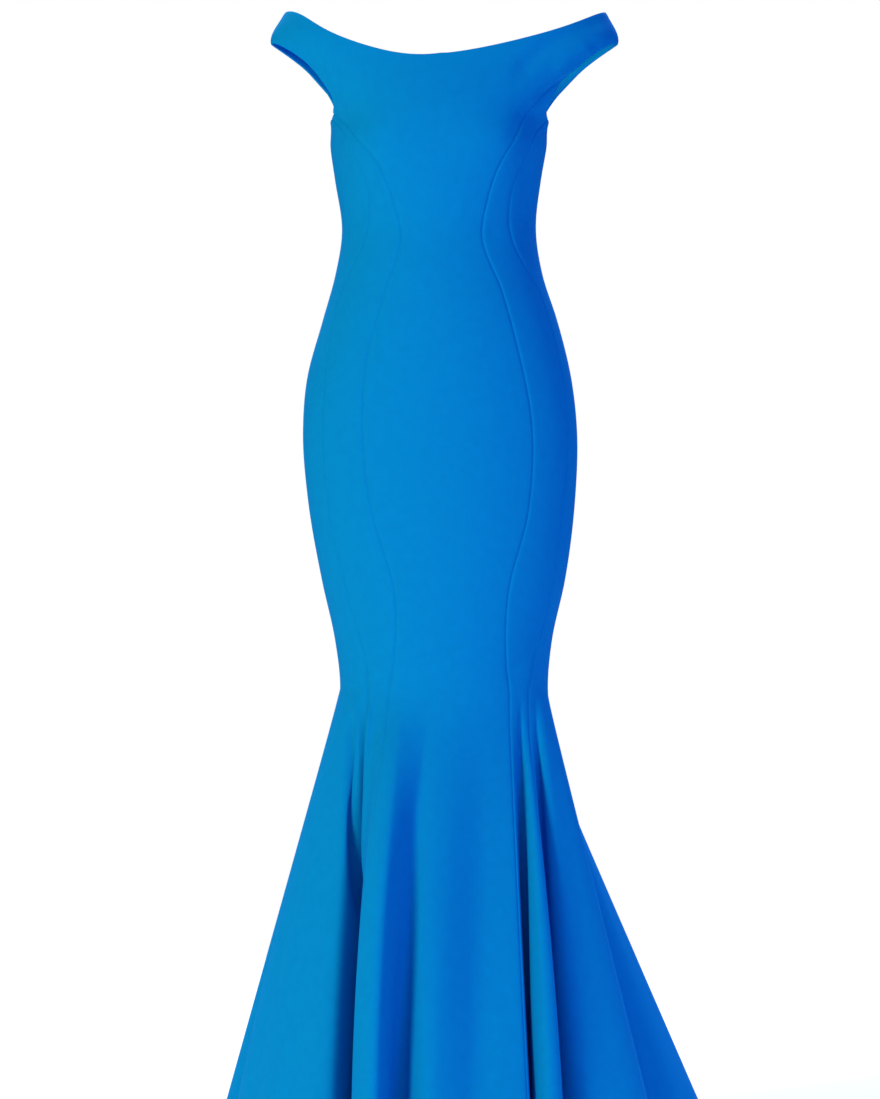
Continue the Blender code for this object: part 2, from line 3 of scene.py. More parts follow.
import bpy
import numpy as np
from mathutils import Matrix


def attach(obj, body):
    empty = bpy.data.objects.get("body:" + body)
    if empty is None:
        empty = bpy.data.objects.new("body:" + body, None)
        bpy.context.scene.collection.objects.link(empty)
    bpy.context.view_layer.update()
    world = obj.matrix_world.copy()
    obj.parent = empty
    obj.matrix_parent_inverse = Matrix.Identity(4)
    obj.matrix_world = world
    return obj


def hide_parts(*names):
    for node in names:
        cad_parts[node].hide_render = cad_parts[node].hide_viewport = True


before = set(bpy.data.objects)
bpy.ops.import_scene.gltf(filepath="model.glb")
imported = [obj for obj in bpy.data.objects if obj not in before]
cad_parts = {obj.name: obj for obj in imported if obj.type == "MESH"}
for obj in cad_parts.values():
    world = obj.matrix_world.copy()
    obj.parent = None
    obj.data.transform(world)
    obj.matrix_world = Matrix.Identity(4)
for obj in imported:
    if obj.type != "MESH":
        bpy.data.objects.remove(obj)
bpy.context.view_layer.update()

# Metres, z up, the front faces -y. Left and right are the wearer's, so +x is the left side.
# A bearing is an angle round the body: 0 at centre front, 90 at the wearer's left side, 180 at centre back.
# Heights are above the hem. The row's zero is where the arms and chest hold the gown, so that is taken off at
# the end.

gown = {
    "holdHeight": 1.500,        # the hem hangs this far below where the gown is held
    "kneeHeight": 0.652,        # the flutes start below this ring
    "chestHeight": 1.358,       # the last level row, just under the armholes
    "neckFront": 1.4625, "neckBack": 1.484, "neckSide": 1.530,
    "neckDipRight": 3.5, "neckDipLeft": 2.2, "neckDipTurn": 8.0,
    "underarm": 1.388, "bandHem": 1.489, "armholeHalfAngle": 29.0, "armholeSquareness": 2.6,
    "cupFullness": 0.009, "cupBearing": 36.0, "cupHeight": 1.352, "cupWidthAngle": 22.0, "cupTallness": 0.050,
    "onsetSoftness": 0.05, "hemSteps": 16, "yokeRowEase": 1.7, "armholeRowEase": 1.5, "leanStep": 0.01,
    "cloth": 0.0015,            # the heavy crepe
}

# Level sections of the worn form
sectionColumns = ("height", "halfWidth", "middleX", "front", "back")
sections = np.array([
    (0.600, 0.1380, 0.0052, 0.099, 0.102),
    (0.663, 0.1352, 0.0052, 0.098, 0.101),
    (0.715, 0.1410, 0.0046, 0.102, 0.105),
    (0.793, 0.1580, 0.0045, 0.107, 0.113),
    (0.897, 0.1736, 0.0020, 0.110, 0.124),
    (0.988, 0.1781, 0.0000, 0.110, 0.128),
    (1.053, 0.1720, -0.0010, 0.111, 0.122),
    (1.131, 0.1521, 0.0000, 0.109, 0.106),
    (1.190, 0.1345, -0.0013, 0.104, 0.094),
    (1.245, 0.1261, -0.0013, 0.099, 0.088),
    (1.313, 0.1339, -0.0026, 0.112, 0.095),
    (1.352, 0.1401, -0.0020, 0.119, 0.100),
    (1.394, 0.1448, 0.0000, 0.119, 0.105),
    (1.425, 0.1700, 0.0035, 0.113, 0.108),
    (1.456, 0.2000, 0.0052, 0.105, 0.109),
    (1.489, 0.2255, 0.0058, 0.098, 0.108),
    (1.531, 0.2087, 0.0072, 0.090, 0.103),
])

# Distance of each front seam from the middle plane at a height, and the bearing of the seams behind the sides
frontSeamColumns = ("height", "rightSideFront", "rightPrincess", "leftPrincess", "leftSideFront")
frontSeams = np.array([
    (0.600, -0.0925, -0.0655, 0.0905, 0.1110),
    (0.652, -0.0925, -0.0648, 0.0890, 0.1135),
    (0.689, -0.0958, -0.0585, 0.0852, 0.1210),
    (0.777, -0.1195, -0.0572, 0.0877, 0.1425),
    (0.881, -0.1430, -0.0865, 0.1132, 0.1570),
    (0.988, -0.1510, -0.0985, 0.1182, 0.1640),
    (1.099, -0.1420, -0.0884, 0.0973, 0.1480),
    (1.161, -0.1290, -0.0699, 0.0801, 0.1290),
    (1.235, -0.0960, -0.0490, 0.0540, 0.0910),
    (1.274, -0.0900, -0.0578, 0.0598, 0.0885),
    (1.333, -0.1040, -0.0826, 0.0776, 0.1040),
    (1.358, -0.1160, -0.1020, 0.0917, 0.1160),
])
sideBackSeams = np.array([
    (0.600, 128.0), (0.777, 127.0), (0.988, 124.0), (1.235, 136.0), (1.333, 129.0), (1.358, 126.0),
])

# The flutes of the hem in plan, from centre front round the wearer's left: near and far shoulder, the hollow
# before the next flute, the share of the drop passed before the flute opens, and an ease, over 1 where it
# opens mostly high up
fluteColumns = ("nearX", "nearY", "farX", "farY", "hollowX", "hollowY", "onset", "ease")
flutes = np.array([
    (-0.015, -0.300, 0.116, -0.286, 0.092, -0.185, 0.05, 0.8),
    (0.137, -0.262, 0.156, -0.252, 0.128, -0.165, 0.08, 1.6),
    (0.190, -0.226, 0.296, -0.165, 0.268, -0.085, -0.06, 1.0),
    (0.352, -0.045, 0.386, 0.045, 0.318, 0.085, 0.12, 1.0),
    (0.358, 0.150, 0.330, 0.225, 0.262, 0.215, 0.10, 1.0),
    (0.270, 0.305, 0.205, 0.345, 0.160, 0.265, 0.16, 1.2),
    (0.135, 0.385, 0.060, 0.400, 0.030, 0.305, 0.06, 1.0),
    (-0.005, 0.395, -0.080, 0.370, -0.085, 0.275, 0.12, 1.3),
    (-0.135, 0.335, -0.195, 0.280, -0.160, 0.205, 0.08, 1.0),
    (-0.235, 0.220, -0.272, 0.150, -0.215, 0.100, 0.00, 1.0),
    (-0.298, 0.080, -0.305, -0.005, -0.258, -0.040, -0.05, 1.0),
    (-0.276, -0.120, -0.142, -0.243, -0.098, -0.150, -0.04, 1.4),
    (-0.108, -0.262, -0.080, -0.285, -0.050, -0.228, 0.03, 2.6),
])
near, far, hollow = 0, 1, 2

# The cut pieces in order round the body: CAD node, seam on the near side, that seam's flute and its place in
# it, the columns of the mesh between the piece's seams, and the flat cut: width, length and area
pieces = (
    ("front_centre", "rightPrincess", 12, near, 84, (0.560, 1.520, 0.34)),
    ("front_side_left", "leftPrincess", 0, far, 36, (0.240, 1.470, 0.13)),
    ("side_left", "leftSideFront", 1, far, 140, (0.930, 1.430, 0.44)),
    ("back_left", "leftSideBack", 4, hollow, 92, (0.610, 1.550, 0.34)),
    ("back_right", "centreBack", 6, hollow, 88, (0.570, 1.550, 0.33)),
    ("side_right", "rightSideBack", 8, hollow, 124, (0.880, 1.430, 0.45)),
    ("front_side_right", "rightSideFront", 11, hollow, 22, (0.130, 1.440, 0.11)),
)
centreBackPiece = 4    # the piece whose near side is the centre back seam
# Where each seam ends on its armhole: 0 at the underarm, -1 at the band's hem by the front, 1 by the back
seamEnds = {
    "rightPrincess": -0.18, "leftPrincess": -0.52, "rightSideFront": -0.08, "leftSideFront": -0.08,
    "leftSideBack": 0.30, "rightSideBack": 0.30,
}


def unit(vectors):
    return vectors / np.linalg.norm(vectors, axis=-1, keepdims=True)


def bell(distance, halfWidth):
    # 1 in the middle, e to the minus square of the distance in half widths away from it
    return np.exp(-(distance / halfWidth) ** 2)


def ringAngles(count):
    return np.linspace(0, 2 * np.pi, count, endpoint=False)


def nearSeam(index):
    return pieces[index % len(pieces)][1]


def sideOf(seam):
    return -1 if seam.startswith("right") else 1


def reachesNeck(index):
    # Such a piece lies between seams of two kinds of side: right, left or the centre back
    return nearSeam(index)[:4] != nearSeam(index + 1)[:4]


def smoothColumn(table, at, column):
    # A cubic between two rows whose slopes are the neighbours' mean, weighed by the gaps between the rows
    x, y = table[:, 0], table[:, column]
    step = np.diff(x)
    slope = np.diff(y) / step
    inner = (slope[:-1] * step[1:] + slope[1:] * step[:-1]) / (step[1:] + step[:-1])
    tangent = np.concatenate([slope[:1], inner, slope[-1:]])
    at = np.clip(at, x[0], x[-1])
    i = np.clip(np.searchsorted(x, at) - 1, 0, len(step) - 1)
    t = (at - x[i]) / step[i]
    rise = y[i] * (1 + 2 * t) * (1 - t) ** 2 + y[i + 1] * t * t * (3 - 2 * t)
    return rise + step[i] * (tangent[i] * t * (1 - t) ** 2 - tangent[i + 1] * t * t * (1 - t))


def section(height, column):
    return smoothColumn(sections, height, sectionColumns.index(column))


def bodyPoint(bearing, height):
    # Half ellipses before and behind the sides, plus a soft round hill over each cup
    halfWidth, middleX, front, back = (section(height, column) for column in sectionColumns[1:])
    turn = np.radians(bearing)
    forward = np.cos(turn)
    around = (np.abs((bearing + 180) % 360 - 180) - gown["cupBearing"]) / gown["cupWidthAngle"]
    above = (height - gown["cupHeight"]) / gown["cupTallness"]
    cup = gown["cupFullness"] * np.exp(-around ** 2 - above ** 2)
    x = middleX + (halfWidth + cup) * np.sin(turn)
    y = -(np.where(forward > 0, front, back) + cup) * forward
    return np.stack([x, y, height * np.ones_like(x)], axis=-1)


def seamBearing(name, height):
    # In front, the angle whose sine is the seam's distance from the middle; behind, the angle of the table
    if name == "centreBack":
        return 180.0 + 0 * height
    if name.endswith("SideBack"):
        return sideOf(name) * smoothColumn(sideBackSeams, height, 1)
    across = smoothColumn(frontSeams, height, frontSeamColumns.index(name))
    sine = (across - section(height, "middleX")) / section(height, "halfWidth")
    return np.degrees(np.arcsin(np.clip(sine, -1, 1)))


def hemCurve():
    # A cubic through every shoulder and hollow, whose directions weigh each stretch by the root of its length
    knots = flutes[:, :fluteColumns.index("onset")].reshape(-1, 2)
    before, after, beyond = np.roll(knots, 1, 0), np.roll(knots, -1, 0), np.roll(knots, -2, 0)
    share = np.linspace(0, 1, gown["hemSteps"] + 1)[:-1, None, None]
    stretches = (knots - before, after - knots, beyond - after)
    first, middle, last = (np.sqrt(np.linalg.norm(stretch, axis=1))[:, None] for stretch in stretches)
    straight = (after - knots) / middle
    leave = ((knots - before) / first - (after - before) / (first + middle) + straight) * middle
    arrive = (straight - (beyond - knots) / (middle + last) + (beyond - after) / last) * middle
    points = (knots * (1 + 2 * share) * (1 - share) ** 2 + after * share ** 2 * (3 - 2 * share)
              + leave * share * (1 - share) ** 2 - arrive * share ** 2 * (1 - share))
    points = points.transpose(1, 0, 2).reshape(-1, 2)
    closed = np.vstack([points, points[:1]])
    run = np.concatenate([[0], np.cumsum(np.linalg.norm(np.diff(closed, axis=0), axis=1))])
    return closed, run, run[:-1:gown["hemSteps"]]


hemPoints, hemRun, knotRun = hemCurve()
hemRound = hemRun[-1]
seamRuns = [knotRun[3 * flute + knot] for _, _, flute, knot, _, _ in pieces]
seamRuns[0] -= hemRound
seamRuns.append(seamRuns[0] + hemRound)


def hemPoint(run):
    # The hem's curve in plan at a length along it
    run = np.mod(run, hemRound)
    return np.stack([np.interp(run, hemRun, hemPoints[:, i]) for i in (0, 1)], axis=-1)


def fluteValue(column, run):
    # The onset or ease of the flutes, blended by a smooth step from the middle of one flute to the next
    values = flutes[:, fluteColumns.index(column)]
    count = len(values)
    middle = (knotRun[near::3] + knotRun[far::3]) / 2
    allRound = np.concatenate([middle[-1:] - hemRound, middle, middle[:1] + hemRound])
    spot = np.interp(np.mod(run, hemRound), allRound, np.arange(-1, count + 1))
    before = np.floor(spot).astype(int)
    share = spot - before
    share = share * share * (3 - 2 * share)
    return values[before % count] * (1 - share) + values[(before + 1) % count] * share


def wholeTurn(index):
    # Bearings past the centre back are counted on from 180
    return 360 if index > centreBackPiece else 0


def seamBearings(height):
    # All the way round, with the first seam again at the end
    found = [seamBearing(nearSeam(i), height) + wholeTurn(i) for i in range(len(pieces))]
    return found + [found[0] + 360]


def opened(drop, onset):
    # Half the sum of the drop past the onset and its rounded size: 0 before, straight after, with a soft bend
    past = drop - onset
    return (past + np.sqrt(past ** 2 + gown["onsetSoftness"] ** 2)) / 2


def hemRunAt(place):
    # The length along the hem at a place, even between one seam and the next
    local = np.mod(place, len(pieces))
    return np.interp(local, np.arange(len(pieces) + 1), seamRuns)


def skirtPoint(place, drop):
    # Straight lines from the knee ring to the hem's curve, each opening softly after its onset.
    # Place counts pieces round the body, in parts too; drop is 0 at the knee and 1 at the hem.
    local = np.mod(place, len(pieces))
    bearing = np.interp(local, np.arange(len(pieces) + 1), seamBearings(gown["kneeHeight"]))
    run = hemRunAt(place)
    knee = bodyPoint(bearing, gown["kneeHeight"])
    onset = fluteValue("onset", run)
    share = (opened(drop, onset) - opened(0, onset)) / (opened(1, onset) - opened(0, onset))
    share = 1 - np.clip(1 - share, 0, 2) ** fluteValue("ease", run)
    plan = knee[..., :2] + (hemPoint(run) - knee[..., :2]) * share[..., None]
    height = gown["kneeHeight"] * (1 - drop) * np.ones_like(share)
    return np.concatenate([plan, height[..., None]], axis=-1)


# Half chords for the normals: piece count and drop on the skirt, degrees and metres on the body
skirtChord, bodyChord = (0.004, -0.004), (0.5, 0.002)


def surfaceNormals(point, a, b, chord):
    # The cross product of two short chords of the surface, one each way
    stepA, stepB = chord
    chordA = point(a + stepA, b) - point(a - stepA, b)
    chordB = point(a, b + stepB) - point(a, b - stepB)
    return unit(np.cross(chordA, chordB))


def armholeEdge(side, share):
    # A squared oval in bearing and height: share 0 at the underarm, -1 and 1 at the band's hem
    angle = np.pi * (np.abs(share) - 0.5)
    power = 2 / gown["armholeSquareness"]
    out = np.abs(np.cos(angle)) ** power
    rise = np.sign(np.sin(angle)) * np.abs(np.sin(angle)) ** power
    bearing = 90 + np.sign(share) * gown["armholeHalfAngle"] * out
    height = (gown["underarm"] + gown["bandHem"]) / 2 + (gown["bandHem"] - gown["underarm"]) / 2 * rise
    return np.stack([side * bearing, height], axis=-1)


def necklineHeight(bearing):
    # Highest on the arms, less a power of the cosine towards the front and the back
    turn = gown["neckDipTurn"] * np.maximum(np.cos(np.radians(bearing)), 0)
    forward = np.cos(np.radians(bearing + turn))
    low = np.where(forward > 0, gown["neckFront"], gown["neckBack"])
    dip = np.where(np.sin(np.radians(bearing)) > 0, gown["neckDipLeft"], gown["neckDipRight"])
    return gown["neckSide"] - (gown["neckSide"] - low) * np.abs(forward) ** dip


# Rows of the fine meshes: the yoke has yokeFiner of them for each row of the plain solid
rows = {
    "skirt": 92, "body": 100, "yokeFiner": 6, "yokeSeam": 3, "yokeArmhole": 5, "yokeBand": 2,
    "edge": np.array([0, 0.5, 1.1, 1.9, 3.2, 5.5]) / 1000,     # rows and columns that crowd at an edge
    "edgeShareMost": 0.3, "roughColumns": 33,
}


def middleClimb():
    # Shares of the way up the middle of a piece that reaches the neck, closer together towards the top
    count = (rows["yokeSeam"] + rows["yokeArmhole"] + rows["yokeBand"]) * rows["yokeFiner"]
    return 1 - np.linspace(1, 0, count + 1) ** gown["yokeRowEase"]


def yokeSide(name, whole):
    # A bent line from the chest to the seam's end on the armhole. A piece that reaches the neck goes on round
    # the armhole and up the end of the arm band.
    if name == "centreBack":
        heights = gown["chestHeight"] + (gown["neckBack"] - gown["chestHeight"]) * middleClimb()
        return np.stack([180.0 + 0 * heights, heights], axis=-1)
    side = sideOf(name)
    chest, end = gown["chestHeight"], armholeEdge(side, seamEnds[name])
    foot = np.array([float(seamBearing(name, chest)), chest])
    short = gown["leanStep"]
    lean = float(seamBearing(name, chest) - seamBearing(name, chest - short)) / short
    bend = foot + (end[1] - foot[1]) / 2 * np.array([lean, 1.0])
    finer = rows["yokeFiner"]
    t = np.linspace(0, 1, rows["yokeSeam"] * finer + 1)[:, None]
    seam = foot * (1 - t) ** 2 + 2 * bend * t * (1 - t) + end * t ** 2
    if not whole:
        return seam
    last = seamEnds[name]
    leftOver = np.linspace(1, 0, rows["yokeArmhole"] * finer + 1)[1:] ** gown["armholeRowEase"]
    roundArmhole = armholeEdge(side, np.sign(last) + (last - np.sign(last)) * leftOver)
    ends = [90.0 * side, gown["bandHem"]], [90.0 * side, gown["neckSide"]]
    upBand = np.linspace(*ends, rows["yokeBand"] * finer + 1)[1:]
    return np.vstack([seam, roundArmhole, upBand])


def yokeGrid(index, share):
    # Bearings and heights above the chest, blended between the piece's four edges; share is 0 to 1 across
    nearName, farName, whole = nearSeam(index), nearSeam(index + 1), reachesNeck(index)
    nearSide, farSide = yokeSide(nearName, whole), yokeSide(farName, whole)
    nearSide[:, 0] += wholeTurn(index)
    farSide[:, 0] += wholeTurn(index + 1)
    topAcross = nearSide[-1, 0] * (1 - share) + farSide[-1, 0] * share
    if whole:
        topBearing, topHeight = topAcross, necklineHeight(topAcross)
    else:
        side, start, end = sideOf(nearName), seamEnds[nearName], seamEnds[farName]
        edge = armholeEdge(side, start + (end - start) * share)
        topBearing = edge[..., 0] + nearSide[-1, 0] - armholeEdge(side, start)[0]
        topHeight = edge[..., 1]
    foot = gown["chestHeight"]
    nearClimb, farClimb = ((edge[:, 1, None] - foot) / (edge[-1, 1] - foot) for edge in (nearSide, farSide))
    edgeClimb = nearClimb * (1 - share) + farClimb * share
    freeClimb = middleClimb()[:, None] if whole else edgeClimb
    climb = edgeClimb + (freeClimb - edgeClimb) * 4 * share * (1 - share)
    across = nearSide[:, :1] * (1 - share) + farSide[:, :1] * share
    return across + climb * (topBearing - topAcross), foot + climb * (topHeight - foot)


def panelSurface(index, share):
    # The outer face of a piece from the hem up: skirt, body and yoke rows, with share 0 to 1 across each row
    skirtCount, bodyCount = len(skirtDrops), rows["body"] + 1
    skirtShare, bodyShare, yokeShare = np.split(share, [skirtCount, skirtCount + bodyCount])
    drop = skirtDrops[:, None] + 0 * skirtShare
    skirt = skirtPoint(index + skirtShare, drop)
    skirtNormals = surfaceNormals(skirtPoint, index + skirtShare, drop, skirtChord)
    heights = np.linspace(gown["kneeHeight"], gown["chestHeight"], bodyCount)
    ends = np.array([seamBearings(height) for height in heights])
    bearings = ends[:, index, None] + (ends[:, index + 1] - ends[:, index])[:, None] * bodyShare
    # The first yoke row is the last body row, so a row of shares is added for it and its points are dropped
    yokeBearings, yokeHeights = yokeGrid(index, np.vstack([yokeShare[:1], yokeShare]))
    bearings = np.vstack([bearings, yokeBearings[1:]])
    levels = np.vstack([heights[:, None] + 0 * bodyShare, yokeHeights[1:]])
    body = bodyPoint(bearings, levels)
    bodyNormals = surfaceNormals(bodyPoint, bearings, levels, bodyChord)
    return np.vstack([skirt, body]), np.vstack([skirtNormals, bodyNormals])


hemRows = rows["edge"] / gown["kneeHeight"]
skirtDrops = 1 - np.concatenate([hemRows[:-1], np.linspace(hemRows[-1], 1, rows["skirt"] + 1)[:-1]])


def yokeRowCount(index):
    coarse = rows["yokeSeam"] + (rows["yokeArmhole"] + rows["yokeBand"] if reachesNeck(index) else 0)
    return coarse * rows["yokeFiner"]


def rowLengths(points):
    # The length of each row of the grid along the cloth
    return np.linalg.norm(np.diff(points, axis=1), axis=-1).sum(axis=1)


def columnShares(lengths, count):
    # Crowded at both edges at set distances, even between
    most = np.linspace(0, rows["edgeShareMost"], len(rows["edge"]))
    crowd = np.minimum(rows["edge"] / lengths[:, None], most)
    even = crowd[:, -1:] + (1 - 2 * crowd[:, -1:]) * np.linspace(0, 1, count)
    return np.concatenate([crowd[:, :-1], even, 1 - crowd[:, -2::-1]], axis=1)


# How the cloth is sewn: seams sink a little, cut edges are turned in and pressed
sewing = {
    "seamDepth": 0.0010, "seamHalfWidth": 0.0016,
    "pressedRidge": 0.00010, "allowance": 0.011, "allowanceSoftness": 0.0016,
    "turnedDepth": 0.016, "turnedThickness": 0.0011, "turnedSoftness": 0.0012,
    "edgeRound": 0.0012, "innerRounding": 1.6, "sharpAngle": 50,
    "hemLineDepth": 0.00016, "hemLineHeight": 0.024, "hemLineHalfWidth": 0.0012,
    "farOff": 1.0,              # stands for a distance to an edge that isn't there
}

# Concealed zip behind the centre back seam: two woven tapes with the closed coil, and the slider at the top
zipper = {
    "foot": 0.980, "top": 1.465, "mouth": 0.0024, "mouthRun": 0.002,
    "tapeStart": 0.0013, "tapeEnd": 0.0118, "tapeThickness": 0.0006, "tapeGap": 0.0005,
    "tapeRows": 260, "tapeColumns": 14, "edgeLift": 0.0005, "waveLength": 0.062,
    "coilPitch": 0.0012, "coilHalfWidth": 0.0019, "coilHalfDepth": 0.0008, "coilDepth": 0.0040,
    "threadRadius": 0.00036, "turnPoints": 10, "threadSides": 6,
    "stitchAcross": 0.0040, "stitchPitch": 0.0025, "stitchLength": 0.0019, "stitchRadius": 0.00019,
    "stitchSides": 8, "stitchRings": 6, "stitchChord": 0.0005,
}

# How creases fade past their ends and off the side they face, and how they grow down the skirt
creaseShape = {"overrun": 0.15, "fadeGain": 4, "facingGain": 1.6, "skirtGrowth": 1.3, "startWidth": 0.5}

# Soft troughs (depth below 0) and ridges laid on the fitted part: from x and height to x and height, half
# width, depth, and how far the line bows sideways. Front ones are as worn, back ones are of the same kind.
frontCreases = np.array([
    (0.182, 1.442, 0.128, 1.408, 0.006, -0.0040, 0.004),
    (0.180, 1.432, 0.134, 1.402, 0.006, 0.0030, 0.004),
    (0.212, 1.516, 0.098, 1.436, 0.012, -0.0035, 0.010),
    (0.196, 1.478, 0.150, 1.448, 0.010, 0.0025, 0.004),
    (-0.205, 1.500, -0.150, 1.440, 0.010, -0.0022, -0.006),
    (-0.150, 1.420, -0.110, 1.372, 0.009, -0.0014, -0.004),
    (0.120, 1.395, 0.090, 1.355, 0.009, -0.0014, 0.003),
    (0.118, 1.262, 0.060, 1.236, 0.010, -0.0010, 0.003),
    (-0.118, 1.262, -0.060, 1.240, 0.010, -0.0009, -0.003),
    (-0.125, 0.700, -0.060, 0.664, 0.012, -0.0012, -0.004),
    (0.130, 0.705, 0.085, 0.668, 0.012, -0.0014, 0.004),
])
backCreases = np.array([
    (-0.110, 1.250, 0.020, 1.228, 0.011, -0.0026, 0.006),
    (0.105, 1.262, -0.010, 1.244, 0.010, -0.0022, 0.005),
    (-0.095, 1.222, 0.060, 1.206, 0.012, -0.0020, 0.004),
    (0.150, 1.440, 0.090, 1.380, 0.010, -0.0020, 0.004),
    (-0.150, 1.440, -0.090, 1.380, 0.010, -0.0022, -0.004),
    (0.200, 1.505, 0.120, 1.452, 0.012, -0.0026, 0.006),
    (-0.200, 1.505, -0.115, 1.456, 0.012, -0.0024, -0.006),
    (-0.110, 0.830, 0.040, 0.800, 0.014, -0.0020, 0.006),
    (0.120, 0.812, 0.010, 0.790, 0.014, -0.0018, 0.004),
    (-0.120, 0.690, -0.040, 0.662, 0.012, -0.0014, -0.004),
    (0.120, 0.695, 0.050, 0.664, 0.012, -0.0014, 0.004),
])

# Soft creases down the skirt between the flutes: run along the hem from centre front, half width and depth at
# the hem, the drop where the crease starts, and how far it leans along the hem from there on
skirtCreases = np.array([
    (0.055, 0.020, -0.0022, 0.30, 0.010),
    (0.095, 0.016, 0.0016, 0.42, 0.006),
    (0.300, 0.014, -0.0020, 0.35, 0.008),
    (0.420, 0.022, -0.0030, 0.25, 0.020),
    (0.700, 0.026, -0.0040, 0.45, 0.012),
    (0.960, 0.022, -0.0034, 0.40, -0.010),
    (1.260, 0.024, -0.0036, 0.32, 0.012),
    (1.560, 0.020, -0.0030, 0.38, -0.008),
    (1.800, 0.024, -0.0036, 0.28, 0.014),
    (2.080, 0.022, -0.0032, 0.42, -0.012),
    (2.330, 0.024, -0.0034, 0.34, 0.010),
    (2.560, 0.020, -0.0028, 0.30, 0.010),
    (2.800, 0.022, -0.0030, 0.36, -0.010),
    (2.952, 0.026, -0.0060, 0.25, -0.030),
    (3.000, 0.022, 0.0050, 0.35, -0.050),
    (3.340, 0.018, -0.0020, 0.40, 0.006),
])

# Folds in the skirt from one run and drop to another, with half width and depth
skirtFolds = np.array([
    (3.080, 0.04, 3.210, 0.44, 0.030, -0.0110),
    (3.225, 0.02, 3.262, 0.36, 0.020, 0.0070),
    (0.262, 0.02, 0.262, 1.30, 0.024, -0.0090),
    (0.452, 0.06, 0.455, 1.30, 0.028, -0.0080),
    (3.425, 0.16, 3.430, 1.30, 0.022, -0.0040),
])


def facingShare(normal, way):
    # How squarely the cloth faces the front (way -1) or the back (way 1), full from about 40 degrees off
    return np.clip(way * normal[..., 1] * creaseShape["facingGain"], 0, 1)


def bodyCreases(points, table, facing):
    # A bell across each line, fading to its two ends, times how squarely the cloth faces that way
    over = creaseShape["overrun"]
    total = np.zeros(points.shape[:2])
    for x0, height0, x1, height1, halfWidth, depth, bow in table:
        run = np.array([x1 - x0, height1 - height0])
        length = np.linalg.norm(run)
        across = points[..., [0, 2]] - (x0, height0)
        along = across @ run / length ** 2
        aside = (across[..., 0] * run[1] - across[..., 1] * run[0]) / length
        aside = aside - bow * 4 * along * (1 - along)
        fade = np.clip(along + over, 0, 1) * np.clip(1 + over - along, 0, 1) * creaseShape["fadeGain"]
        total += depth * bell(aside, halfWidth) * np.clip(fade, 0, 1) ** 2
    return total * facing


def shortestRun(run):
    # The shorter way round the hem
    return (run + hemRound / 2) % hemRound - hemRound / 2


def skirtCreaseDepth(place, drop):
    # The same bell round the hem. A crease widens and deepens down from its start, a fold fades at both ends.
    run = np.mod(hemRunAt(place), hemRound)
    narrow = creaseShape["startWidth"]
    total = np.zeros(run.shape)
    for at, halfWidth, depth, start, lean in skirtCreases:
        share = np.clip((drop - start) / (1 - start), 0, 1)
        aside = shortestRun(run - at - lean * (share - 1))
        width = halfWidth * (narrow + (1 - narrow) * share)
        total += depth * share ** creaseShape["skirtGrowth"] * bell(aside, width)
    for run0, drop0, run1, drop1, halfWidth, depth in skirtFolds:
        along = (drop - drop0) / (drop1 - drop0)
        aside = shortestRun(run - run0 - (run1 - run0) * along)
        total += depth * np.clip(1 - (2 * along - 1) ** 4, 0, 1) * bell(aside, halfWidth)
    return total


def edgeDistances(points, share, index):
    # Distances along the cloth to the nearest seam and to the nearest cut edge, by rows and by columns
    lengths = rowLengths(points)[:, None]
    toNear, toFar = share * lengths, (1 - share) * lengths
    up = np.linalg.norm(np.diff(points, axis=0), axis=-1)
    fromHem = np.vstack([np.zeros((1, points.shape[1])), np.cumsum(up, axis=0)])
    fromTop = fromHem[-1:] - fromHem
    count = len(points)
    finer = rows["yokeFiner"]
    sewn = np.ones(count, bool)                     # rows whose sides are sewn; the rest lie along an armhole
    if yokeRowCount(index) > rows["yokeSeam"] * finer:
        sewn[-(rows["yokeArmhole"] + rows["yokeBand"]) * finer:-rows["yokeBand"] * finer] = False
    nearSewn, farSewn = ((sewn | (nearSeam(i) == "centreBack"))[:, None] for i in (index, index + 1))
    none = sewing["farOff"]
    toSeam = np.minimum(np.where(nearSewn, toNear, none), np.where(farSewn, toFar, none))
    toEdge = np.minimum(np.where(nearSewn, none, toNear), np.where(farSewn, none, toFar))
    return toSeam, np.minimum(toEdge, np.minimum(fromHem, fromTop)), fromHem


def stepDown(distance, at, softness):
    # 1 before that distance and 0 beyond it, by a hyperbolic tangent
    return 0.5 - 0.5 * np.tanh((distance - at) / softness)


def meshPiece(name, points, faces, material, body):
    # Takes faces as lists of point numbers, and heights above the hem
    mesh = bpy.data.meshes.new(name)
    mesh.from_pydata((points - (0, 0, gown["holdHeight"])).tolist(), [], faces)
    mesh.validate()
    mesh.update()
    mesh.shade_smooth()
    mesh.set_sharp_from_angle(angle=math.radians(sewing["sharpAngle"]))
    made = bpy.data.objects.new(name, mesh)
    made.data.materials.append(material)
    bpy.context.scene.collection.objects.link(made)
    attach(made, body)
    return made


def wall(outer, inner):
    # A closed wall from two grids of the same shape: quads on both, and a strip of quads round the four edges
    count = outer.shape[0] * outer.shape[1]
    index = np.arange(count).reshape(outer.shape[:2])
    quads = np.stack([index[:-1, :-1], index[:-1, 1:], index[1:, 1:], index[1:, :-1]], -1).reshape(-1, 4)
    ring = np.concatenate([index[0, :-1], index[:-1, -1], index[-1, :0:-1], index[:0:-1, 0]])
    following = np.roll(ring, -1)
    rim = np.stack([following, ring, ring + count, following + count], -1)
    points = np.concatenate([outer.reshape(-1, 3), inner.reshape(-1, 3)])
    return points, np.concatenate([quads, quads[:, ::-1] + count, rim])


